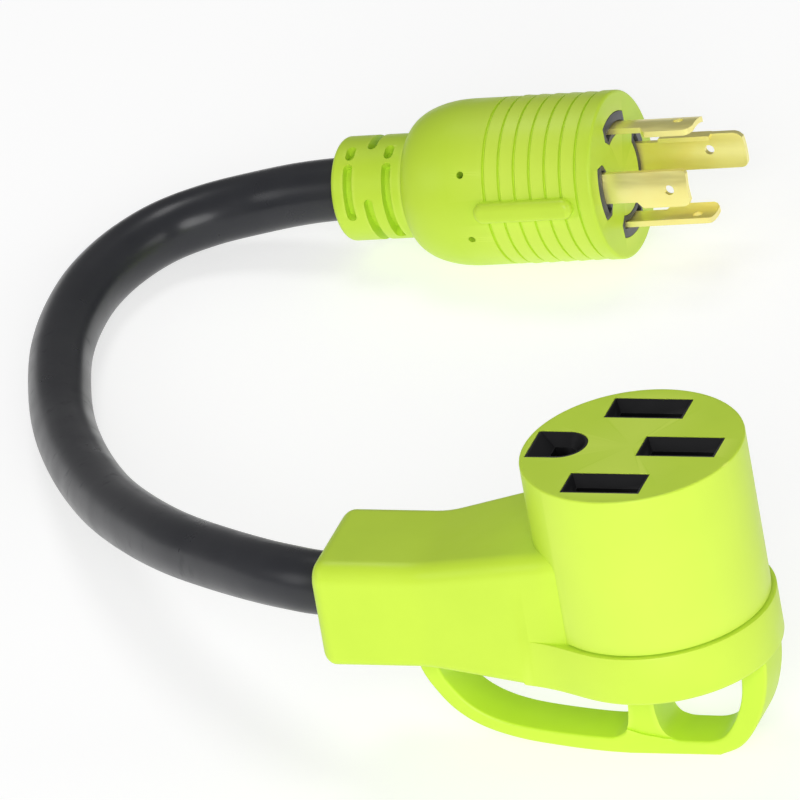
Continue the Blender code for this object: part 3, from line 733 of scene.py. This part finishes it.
def cable_path():
    points = [Vector((JACKET_END_X, 0.0, ARM_Z)), Vector((ARM_END + 10 * MM, 0.0, ARM_Z))]
    points += [Vector(point) * MM for point in CABLE_ROUTE]
    points += [PLUG_START - PLUG_AXIS * 4 * MM, PLUG_START + PLUG_AXIS * 8 * MM]
    points += [PLUG_START + PLUG_AXIS * along for along in (20 * MM, PLUG_JACKET_END)]
    return catmull_rom(points, CABLE_STEP)


def cable_mesh(path):
    """A round tube along the path, whose section doesn't twist."""
    rings = []
    circle = arc(CABLE_R, 0, 360 - 360 / CABLE_SIDES, CABLE_SIDES - 1)
    side = Vector((0.0, 0.0, 1.0))
    for index, middle in enumerate(path):
        along = (path[min(index + 1, len(path) - 1)] - path[max(index - 1, 0)]).normalized()
        side = (side - along * side.dot(along)).normalized()
        other = along.cross(side)
        rings.append([middle + side * x + other * y for x, y in circle])
    return skin("cable", rings)


def add_cable(look):
    """The jacket, from inside the arm to inside the plug."""
    path = cable_path()
    piece = finish_piece("cable", cable_mesh(path), look, ["cable_jacket"])


# Socket


def hinge(value, softness):
    """0 below zero and the value itself above, with a soft turn between."""
    if value <= -softness:
        return 0.0
    if value >= softness:
        return value
    return (value + softness) ** 2 / (4 * softness)


def arm_section(x, shrink):
    """The arm's outline at x, in Y and Z, moved inwards by shrink."""
    past_start = hinge(x - FLARE_START, FLARE_SOFT)
    flare = past_start - hinge(x - FLARE_END, FLARE_END_SOFT)
    ramp = past_start - hinge(x - RAMP_END, RAMP_END_SOFT)
    drop = past_start - hinge(x - FOOT_END, RAMP_END_SOFT)
    half = ARM_HALF + FLARE_SLOPE * flare - shrink
    top = ARM_TOP + RAMP_SLOPE * ramp - shrink
    low = ARM_LOW - FOOT_SLOPE * drop + shrink
    upper = max(ARM_ROUNDING - shrink * 0.6, 1.5 * MM)
    lower = max(ARM_FOOT_ROUNDING - shrink * 0.4, 0.8 * MM)
    section = arc(lower, 180, 270, 8, (-half + lower, low + lower))
    section += arc(lower, 270, 360, 8, (half - lower, low + lower))
    section += arc(upper, 0, 90, 12, (half - upper, top - upper))
    section += arc(upper, 90, 180, 12, (-half + upper, top - upper))
    return [(x, y, z) for y, z in section]


def arm_block():
    """The arm from its rounded cable end to inside the head."""
    steps = 10
    rings = []
    for index in range(steps + 1):
        angle = math.radians(90 * index / steps)
        x = ARM_END + ARM_END_ROUNDING * (1 - math.cos(angle))
        rings.append(arm_section(x, ARM_END_ROUNDING * (1 - math.sin(angle))))
    count = 56
    start = ARM_END + ARM_END_ROUNDING
    for index in range(1, count + 1):
        rings.append(arm_section(start + (ARM_INSIDE - start) * index / count, 0.0))
    return skin("arm_block", rings)


def base_outline():
    """The flange's circle, drawn out in a soft curve to the arm's sides."""
    meet = math.degrees(math.acos(BASE_MEETS_AT / FLANGE_R))
    circle = arc(FLANGE_R, -meet, meet, 120)
    start = Vector(circle[-1])
    end = Vector((FOOT_END, ARM_HALF + FLARE_SLOPE * (FOOT_END - FLARE_START)))
    lean = math.radians(meet + 90)
    first = start + Vector((math.cos(lean), math.sin(lean))) * 9 * MM
    second = end + Vector((1.0, FLARE_SLOPE)).normalized() * 12 * MM
    side = []
    steps = 20
    for index in range(1, steps + 1):
        t = index / steps
        side.append(
            start * (1 - t) ** 3 + first * 3 * t * (1 - t) ** 2 + second * 3 * t**2 * (1 - t) + end * t**3
        )
    side = [(point.x, point.y) for point in side]
    mirrored = [(x, -y) for x, y in reversed(side)]
    return [*circle, *side, *mirrored]


def head_profile():
    """(radius, height) from the face down the side to a groove at the flange, then in below the cavity."""
    rim = 0.5 * MM
    groove_r = HEAD_R - HEAD_GROOVE_DEEP
    low = CAVITY_LOW - 2 * MM
    points = [(0.0, HEAD_TOP), (HEAD_R - 2 * rim, HEAD_TOP)]
    points += [(HEAD_R - rim + x, HEAD_TOP - rim + y) for x, y in arc(rim, 90, 0, 4)]
    points += [(HEAD_R, FLANGE_TOP + HEAD_GROOVE_HALF), (groove_r, FLANGE_TOP + HEAD_GROOVE_HALF)]
    points += [(groove_r, FLANGE_TOP - HEAD_GROOVE_HALF), (HEAD_R - 3 * MM, low), (0.0, low)]
    return points


def handle_outlines():
    """Side view of the pull handle, x along the arm and y up: its outer line and its two windows."""
    outer = [(31.2, 37), (31, 30), (30, 22.5), (27.6, 14.6), (24, 8), (19.4, 2.9), (13, 0.1)]
    tail = [(-13, 0.1), (-21, 0.6), (-32, 1.9), (-44, 4), (-54, 7.4), (-61, 12), (-66, 18)]
    tail += [(-70, 26), (-71, 36)]
    long_window = [(-65.6, 34), (-64.6, 26), (-62, 20.4), (-57.4, 14.8), (-51.5, 10.9), (-43.5, 8.2)]
    long_window += [(-32, 6.3), (-20, 5.1), (-16, 5.5), (-13.2, 7.6), (-12, 12), (-11.4, 20), (-11, 34)]
    short_window = [(-4.7, 34), (-4.3, 20), (-3.9, 12), (-2.5, 7.1), (0.6, 4.8), (6, 4.4)]
    short_window += [(11.6, 4.6), (15.6, 6.6), (19.4, 12), (22.3, 20), (23.6, 34)]
    step = 0.8
    outlines = [catmull_rom(outer, step) + catmull_rom(tail, step)]
    outlines += [catmull_rom(long_window, step), catmull_rom(short_window, step)]
    return [[(x * MM, z * MM) for x, z in outline] for outline in outlines]


def handle_block():
    """The loop, whose middle strut is a little narrower than the bar."""
    loop = plate("handle", handle_outlines(), -HANDLE_HALF, HANDLE_HALF, HANDLE_EDGE)
    strut = [(-14.6, 8.4), (-8, 6.3), (2.2, 4.5), (-3.3, 31), (-12.4, 31)]
    strut = [(x * MM, z * MM) for x, z in strut]
    near = straight_slab("strut_near", strut, HANDLE_HALF - STRUT_RECESS, HANDLE_HALF + PAST)
    far = straight_slab("strut_far", strut, -HANDLE_HALF - PAST, STRUT_RECESS - HANDLE_HALF)
    mesh = combine("handle", loop, [("DIFFERENCE", near, None), ("DIFFERENCE", far, None)])
    mesh.transform(Matrix.Rotation(math.radians(90), 4, "X"))
    return mesh


def add_socket_body(look):
    """The lime moulding: arm, base, head and pull handle in one, hollow for the insulator."""
    base_steps = [(1.2 * MM, BASE_LOW), (0.5 * MM, BASE_LOW + 0.2 * MM), (0.15 * MM, BASE_LOW + 0.6 * MM)]
    base_steps += [(0.0, BASE_LOW + 1.2 * MM), (0.0, FLANGE_TOP - 0.35 * MM)]
    base_steps += [(0.1 * MM, FLANGE_TOP - 0.1 * MM), (0.35 * MM, FLANGE_TOP)]
    steps = [
        ("UNION", slab("base", base_outline(), base_steps), None),
        ("UNION", turned("head", head_profile(), HEAD_SIDES), None),
        ("UNION", handle_block(), None),
        ("DIFFERENCE", cylinder("cavity", CAVITY_R, CAVITY_LOW, HEAD_TOP - FACE_THICK), None),
    ]
    along = Matrix.Translation((0.0, 0.0, ARM_Z)) @ Matrix.Rotation(math.radians(90), 4, "Y")
    steps.append(("DIFFERENCE", cylinder("bore", BORE_R, ARM_END - PAST, -CAVITY_R + 4 * MM), along))
    for name, (x, y) in SLOT_CENTRES.items():
        outline = rectangle(BOSS_LONG + GAP, BOSS_WIDE + GAP)
        window = straight_slab(name, outline, BOSS_ROOT - GAP, HEAD_TOP + PAST)
        steps.append(("DIFFERENCE", window, Matrix.Translation((x, y, 0.0))))
    outline = d_shape(GROUND_BOSS_R + GAP / 2, GROUND_BOSS_FLAT + GAP / 2)
    window = straight_slab("ground", outline, BOSS_ROOT - GAP, HEAD_TOP + PAST)
    steps.append(("DIFFERENCE", window, Matrix.Translation((*GROUND_CENTRE, 0.0))))
    mesh = combine("socket_body", arm_block(), steps)
    finish_piece("socket_body", mesh, look, ["socket_overmould"])


def add_socket_insert(look):
    """The insulator, whose four bosses come up flush with the face, each with a chamfered mouth."""
    base = cylinder("core", CORE_R, CORE_LOW, HEAD_TOP - FACE_THICK - GAP)
    top, mouth_low = HEAD_TOP - 0.05 * MM, HEAD_TOP - MOUTH_DEEP
    steps = []
    for name, (x, y) in SLOT_CENTRES.items():
        shift = Matrix.Translation((x, y, 0.0))
        boss = slab(name, rectangle(BOSS_LONG, BOSS_WIDE), round_edge(BOSS_ROOT, top, BOSS_EDGE, 2, True))
        mouth = funnel(
            name,
            rectangle(MOUTH_LONG, MOUTH_WIDE),
            rectangle(SLOT_LONG + GAP, SLOT_WIDE + GAP),
            HEAD_TOP + GAP / 3,
            mouth_low,
        )
        slot = straight_slab(name, rectangle(SLOT_LONG, SLOT_WIDE), CORE_LOW - PAST, HEAD_TOP + PAST)
        steps += [("UNION", boss, shift), ("DIFFERENCE", mouth, shift), ("DIFFERENCE", slot, shift)]
    shift = Matrix.Translation((*GROUND_CENTRE, 0.0))
    outline = d_shape(GROUND_BOSS_R, GROUND_BOSS_FLAT)
    boss = slab("ground", outline, round_edge(BOSS_ROOT, top, BOSS_EDGE, 2, True))
    wide, narrow = d_shape(GROUND_MOUTH_R, GROUND_MOUTH_FLAT), d_shape(GROUND_R + GAP / 2, GROUND_R + GAP / 2)
    mouth = funnel("ground", wide, narrow, HEAD_TOP + GAP / 3, mouth_low)
    slot = straight_slab("ground", d_shape(GROUND_R, GROUND_R), CORE_LOW - PAST, HEAD_TOP + PAST)
    steps += [("UNION", boss, shift), ("DIFFERENCE", mouth, shift), ("DIFFERENCE", slot, shift)]
    mesh = combine("socket_insert", base, steps)
    finish_piece("socket_insert", mesh, look, ["socket_core"])


# Plug


def plug_profile():
    """(radius, distance along the axis), from the face over the rings and the dome, then back inside."""
    points = [(0.0, PLUG_LENGTH), (PLUG_R - 1.5 * FACE_EDGE, PLUG_LENGTH)]
    points += [(PLUG_R - FACE_EDGE + x, PLUG_LENGTH - FACE_EDGE + y) for x, y in arc(FACE_EDGE, 90, 0, 6)]
    for index in reversed(range(RING_COUNT + 1)):
        groove = RING_FIRST + index * RING_PITCH
        front_r, rear_r = PLUG_R - RING_EASE, PLUG_R - RING_SLOPE
        if index == RING_COUNT:
            front_r = PLUG_R
        elif index == 0:
            front_r, rear_r = PLUG_BAND_R + BAND_EASE, PLUG_BAND_R
        points.append((front_r, groove + RING_GROOVE + 0.1 * MM))
        points.append((PLUG_R - RING_GROOVE, groove + RING_GROOVE * 0.55))
        points.append((PLUG_R - RING_GROOVE, groove + RING_GROOVE * 0.25))
        points.append((rear_r, groove))
    steps = 20
    for index in range(steps + 1):
        angle = math.radians(90) * index / steps
        along = DOME_END - (DOME_END - DOME_START) * math.sin(angle)
        points.append((DOME_START_R + (PLUG_BAND_R - DOME_START_R) * math.cos(angle), along))
    points += [(BORE_R, DOME_START), (BORE_R, CHAMBER_LOW), (CHAMBER_R, CHAMBER_LOW), (CHAMBER_R, RECESS_LOW)]
    points += [(RECESS_R, RECESS_LOW), (RECESS_R, PLUG_LENGTH - PLUG_FACE_THICK)]
    points += [(0.0, PLUG_LENGTH - PLUG_FACE_THICK)]
    return points


def seat_outline(degrees, grow=0.0):
    """A curved seat with pointed ends, round one blade."""
    extra = math.degrees(grow / SEAT_MIDDLE)
    half, tip = SEAT_HALF_ANGLE + extra, SEAT_TIP_ANGLE + extra * 1.6
    outline = arc(SEAT_OUTER + grow, degrees - half, degrees + half, 24)
    outline += arc(SEAT_MIDDLE, degrees + tip, degrees + tip, 1)[:1]
    outline += arc(SEAT_INNER - grow, degrees + half, degrees - half, 24)
    return outline + arc(SEAT_MIDDLE, degrees - tip, degrees - tip, 1)[:1]


def grip_bar(name):
    """A bar with round ends and a crowned top, which stands proud of the rings."""
    outline = arc(GRIP_HALF, 180, 360, 16, (0.0, GRIP_LOW + GRIP_HALF))
    outline += arc(GRIP_HALF, 0, 180, 16, (0.0, GRIP_HIGH - GRIP_HALF))
    return slab(name, outline, round_edge(RECESS_R + 1.5 * MM, GRIP_TOP_R, 1.9 * MM, 8, True))


def add_plug_body(look):
    """The lime moulding of the plug, hollow, with its windows for the blades' seats."""
    steps = []
    for degrees in GRIP_ANGLES:
        steps.append(("UNION", grip_bar("grip_bar"), tangent_frame(degrees)))
    for degrees in PIN_HOLE_ANGLES:
        low = PLUG_BAND_R - PIN_HOLE_DEEP
        hole = cylinder("pin_hole", PIN_HOLE_R, low, PLUG_BAND_R + PAST, (0.0, PIN_HOLE_ALONG), 24)
        steps.append(("DIFFERENCE", hole, tangent_frame(degrees)))
    for degrees in BLADE_ANGLES.values():
        low = PLUG_LENGTH - PLUG_FACE_THICK - PAST
        window = straight_slab("seat_window", seat_outline(degrees, GAP / 2), low, PLUG_LENGTH + PAST)
        steps.append(("DIFFERENCE", window, None))
    mesh = combine("plug_body", turned("plug", plug_profile(), PLUG_SIDES), steps)
    finish_piece("plug_body", mesh, look, ["plug_overmould"], matrix=PLUG_FRAME)


def curved_slot(name, along, start, end):
    """A cutter for a slot round the collar, with round ends in the collar's surface."""
    rings = []
    span = math.radians(end - start) * COLLAR_R
    blunt = 0.2 * MM
    low, high = COLLAR_R - COLLAR_SLOT_DEEP, COLLAR_R + 2 * MM
    end_steps, count = 5, 28
    turns = [math.radians(90 * index / end_steps) for index in range(end_steps)]
    places = [COLLAR_SLOT_HALF * (1 - math.cos(turn)) for turn in turns]
    middle = [COLLAR_SLOT_HALF + (span - 2 * COLLAR_SLOT_HALF) * index / count for index in range(count + 1)]
    places = places + middle + [span - at for at in reversed(places)]
    for at in places:
        from_end = min(at, span - at, COLLAR_SLOT_HALF)
        half = math.sqrt(max(COLLAR_SLOT_HALF**2 - (COLLAR_SLOT_HALF - from_end) ** 2, blunt**2))
        angle = math.radians(start) + at / COLLAR_R
        corners = ((low, -half), (high, -half), (high, half), (low, half))
        rings.append([(r * math.cos(angle), r * math.sin(angle), along + s) for r, s in corners])
    return skin(name, rings)


def add_collar(look):
    """The slotted strain relief. A small web divides each slot of the first and third rows."""
    bands = 16
    profile = [(COLLAR_R, COLLAR_END - (COLLAR_END - COLLAR_EDGE) * index / bands) for index in range(bands)]
    profile += [(COLLAR_R - COLLAR_EDGE + x, COLLAR_EDGE - y) for x, y in arc(COLLAR_EDGE, 0, 90, 8)]
    profile += [(BORE_R + 0.4 * MM, 0.0), (BORE_R, 0.5 * MM), (BORE_R, COLLAR_END)]
    steps = []
    for along, start, end, has_web in COLLAR_ROWS:
        for turn in (0, 180):
            spans = [(start, end)]
            if has_web:
                spans = [(start, COLLAR_WEB[0]), (COLLAR_WEB[1], end)]
            for first, last in spans:
                cutter = curved_slot("collar_slot", along, first + turn, last + turn)
                steps.append(("DIFFERENCE", cutter, None))
    mesh = combine("plug_collar", turned("collar", profile, PLUG_SIDES, True), steps)
    finish_piece("plug_collar", mesh, look, ["plug_strain_relief"], matrix=PLUG_FRAME)


def add_carrier(look):
    """The insulating disc that holds the blades, with a raised seat round each."""
    low, top = RECESS_LOW + GAP + PLATE_THICK + GAP, PLUG_LENGTH - PLUG_FACE_THICK - GAP
    steps = []
    for degrees in BLADE_ANGLES.values():
        steps_up = round_edge(top - PAST, PLUG_LENGTH + 0.12 * MM, BOSS_EDGE, 2, True)
        steps.append(("UNION", slab("seat", seat_outline(degrees), steps_up), None))
    for degrees in BLADE_ANGLES.values():
        half = BLADE_SLOT_HALF_ANGLE
        shape = sector(BLADE_INNER - GAP, BLADE_OUTER + GAP, degrees - half, degrees + half)
        steps.append(("DIFFERENCE", straight_slab("slot", shape, low - PAST, PLUG_LENGTH + PAST), None))
    mesh = combine("plug_carrier", cylinder("carrier", RECESS_R - GAP, low, top), steps)
    finish_piece("plug_carrier", mesh, look, ["blade_carrier"], matrix=PLUG_FRAME)


def blade_outline(reach, notch):
    """Front view of one blade, x across and y along the plug: its notch is on the +X side."""
    root, tip = RECESS_LOW + PLATE_THICK + 3 * GAP, PLUG_LENGTH + reach
    neck, step, wide = 3.3 * MM, PLUG_LENGTH + notch, 5.4 * MM
    outline = [(-wide, root), (neck, root), (neck, step - 1.2 * MM), (wide - 0.4 * MM, step - 0.1 * MM)]
    outline += [(wide, step + 0.5 * MM), (wide, tip - 2.2 * MM), (wide - 0.5 * MM, tip - 1.0 * MM)]
    outline += [(wide - 1.8 * MM, tip), (-wide + 1.2 * MM, tip)]
    return [*outline, (-wide + 0.35 * MM, tip - 0.4 * MM), (-wide, tip - 1.4 * MM)]


def add_blade(name, degrees, look):
    """One curved blade with its hole and notch. The ground one is longer and has a folded lip."""
    ground = name == "ground"
    reach = GROUND_REACH if ground else BLADE_REACH
    from_tip = GROUND_HOLE_FROM_TIP if ground else BLADE_HOLE_FROM_TIP
    half = BLADE_HALF_ANGLE
    low, tip = RECESS_LOW + PLATE_THICK + 2 * GAP, PLUG_LENGTH + reach
    shape = sector(BLADE_INNER, BLADE_OUTER, degrees - half, degrees + half, 28)
    facing = tangent_frame(degrees)
    hole = arc(BLADE_HOLE_R, 0, 345, 23, (0.0, tip - from_tip))
    notch = GROUND_NOTCH_LONG if ground else NOTCH_LONG
    front = plate("blade_front", [blade_outline(reach, notch), hole], 10 * MM, 18 * MM)
    steps = [("INTERSECT", front, facing)]
    if ground:
        lip = rectangle(LIP_THICK, tip - LIP_FROM_TIP - PLUG_LENGTH - notch, 0.4 * MM)
        middle = (tip - LIP_FROM_TIP + PLUG_LENGTH + notch) / 2
        lip = [(LIP_ACROSS + x, middle + y) for x, y in lip]
        steps.append(("UNION", straight_slab("lip", lip, 10.6 * MM, 14.2 * MM), facing))
    mesh = combine(f"pin_{name}", straight_slab("blade", shape, low, tip + PAST), steps)
    finish_piece(f"pin_{name}", mesh, look, [f"blade_{name}"], edge=BLADE_EDGE, matrix=PLUG_FRAME)


def dress_cad_nodes(looks):
    """Every CAD node that isn't replaced gets a detailed material."""
    for node, look in looks.items():
        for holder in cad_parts[node].material_slots:
            holder.material = look


def main():
    add_camera()
    lime = lime_look()
    brass = metal_look("brass_detail", (1.0, 0.93, 0.36), (1.0, 0.86, 0.27), (0.28, 0.42), 0.65)
    add_cable(jacket_look())
    add_lights()
    add_floor()
    add_socket_body(lime)
    add_socket_insert(black_look())
    add_plug_body(lime)
    add_collar(lime)
    add_carrier(slate_look())
    for name, degrees in BLADE_ANGLES.items():
        add_blade(name, degrees, brass)
    board = board_look()
    crimp = metal_look("crimp_metal_detail", (0.60, 0.28, 0.14), (0.42, 0.20, 0.11), (0.28, 0.42))
    wire_colours = {
        "hot_x": (0.02, 0.02, 0.02),
        "hot_y": (0.5, 0.02, 0.02),
        "neutral": (0.75, 0.75, 0.73),
        "ground": (0.02, 0.28, 0.07),
    }
    looks = {"core_rear_cover": board, "carrier_rear_plate": board}
    for name, colour in wire_colours.items():
        looks[f"contact_{name}"] = brass
        looks[f"socket_crimp_{name}"] = crimp
        looks[f"plug_crimp_{name}"] = crimp
        wire = wire_look(name, colour)
        looks[f"socket_wire_{name}"] = wire
        looks[f"plug_wire_{name}"] = wire
    dress_cad_nodes(looks)


main()
